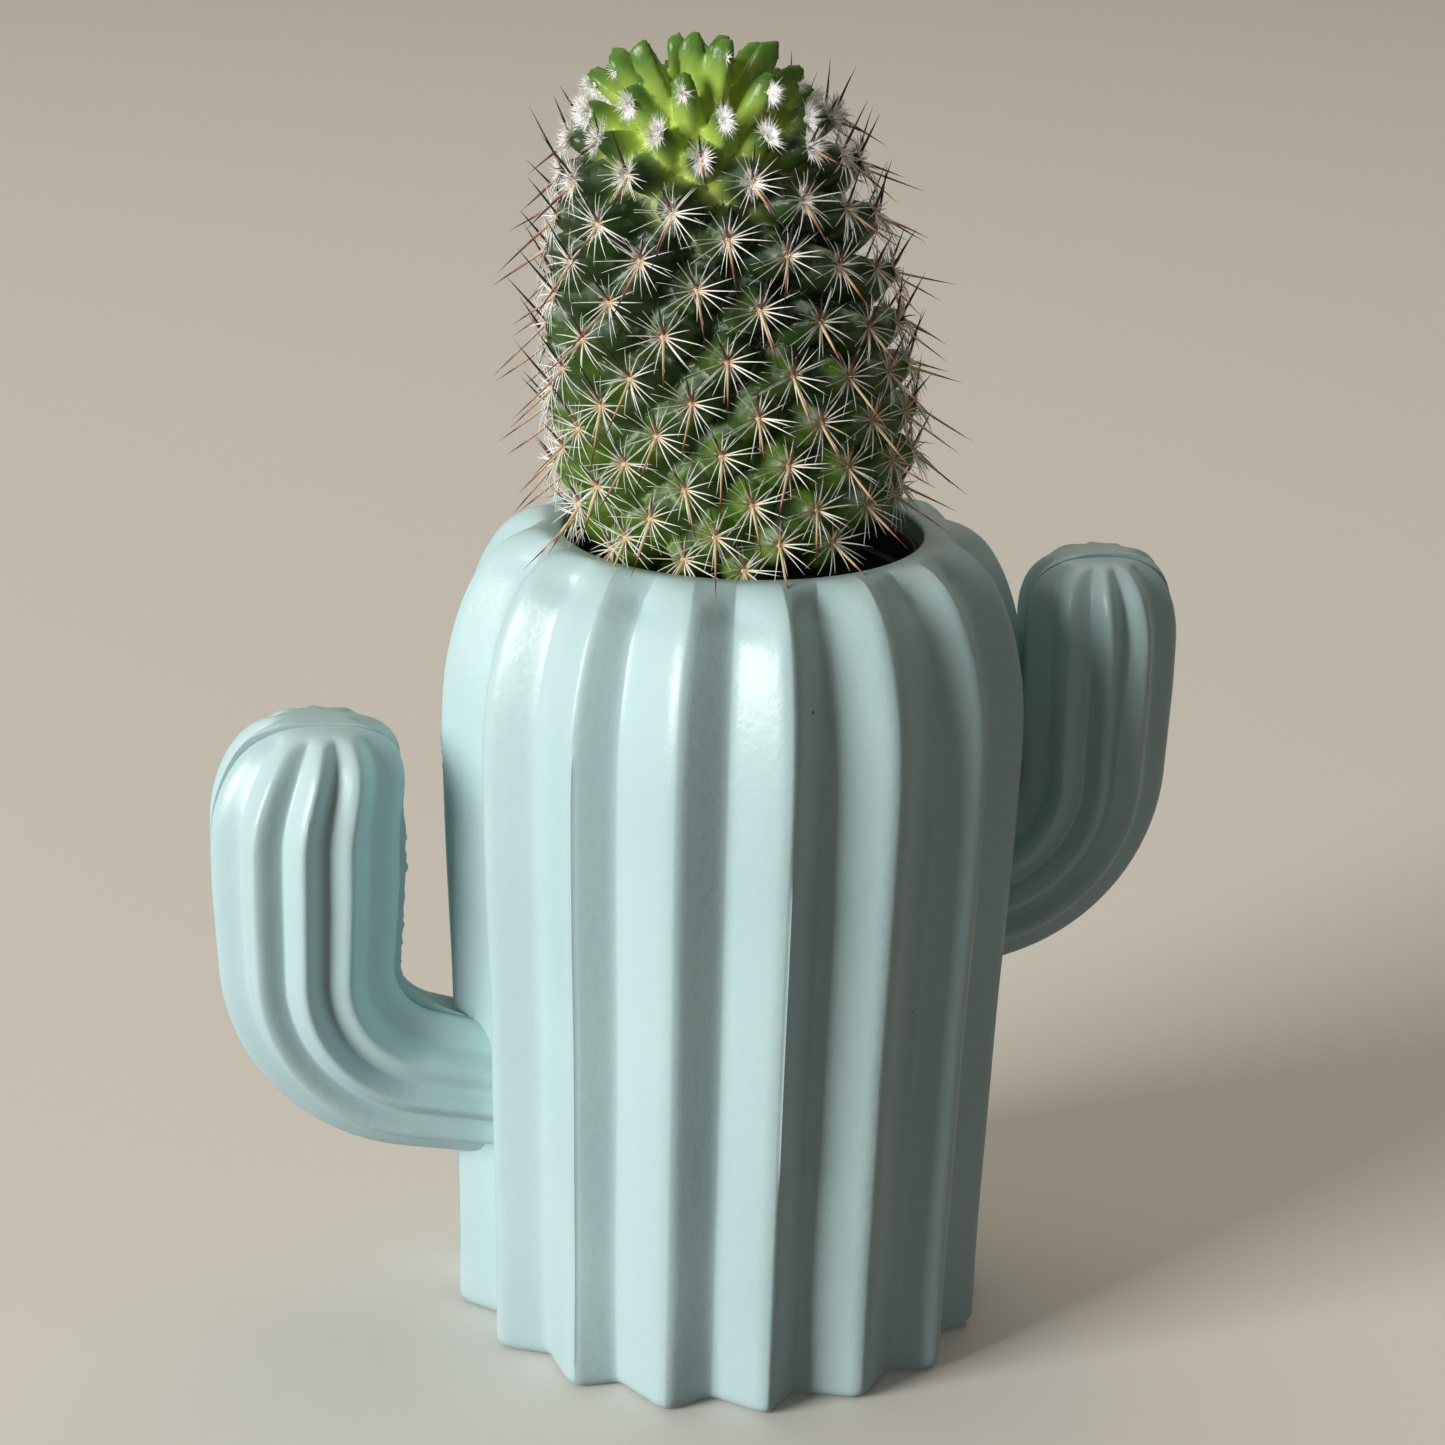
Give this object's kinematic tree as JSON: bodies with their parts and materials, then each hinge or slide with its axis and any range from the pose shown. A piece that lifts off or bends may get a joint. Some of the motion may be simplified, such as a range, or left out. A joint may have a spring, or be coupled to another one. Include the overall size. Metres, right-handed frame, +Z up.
{
  "type": "potted round cactus",
  "caption": "Small warty, white-spined cactus in a black nursery pot that stands in a ribbed, cactus-shaped outer pot with two raised arms.",
  "frame": {"origin": "middle of the outer pot's flat underside", "axes": "+Z up through the pot's mouth, +X towards the higher and slimmer arm, -X towards the lower and thicker arm, -Y the front"},
  "size_m": [0.1635, 0.0982, 0.2253],
  "materials": {
    "pot_plastic": "satin",
    "nursery_plastic": "satin",
    "potting_mix": "matte",
    "cactus_flesh": "satin"
  },
  "bodies": {
    "root": {"cactus_shaped_pot": "pot_plastic", "nursery_pot": "nursery_plastic", "potting_mix": "potting_mix", "cactus_plant": "cactus_flesh"}
  },
  "joints": []
}
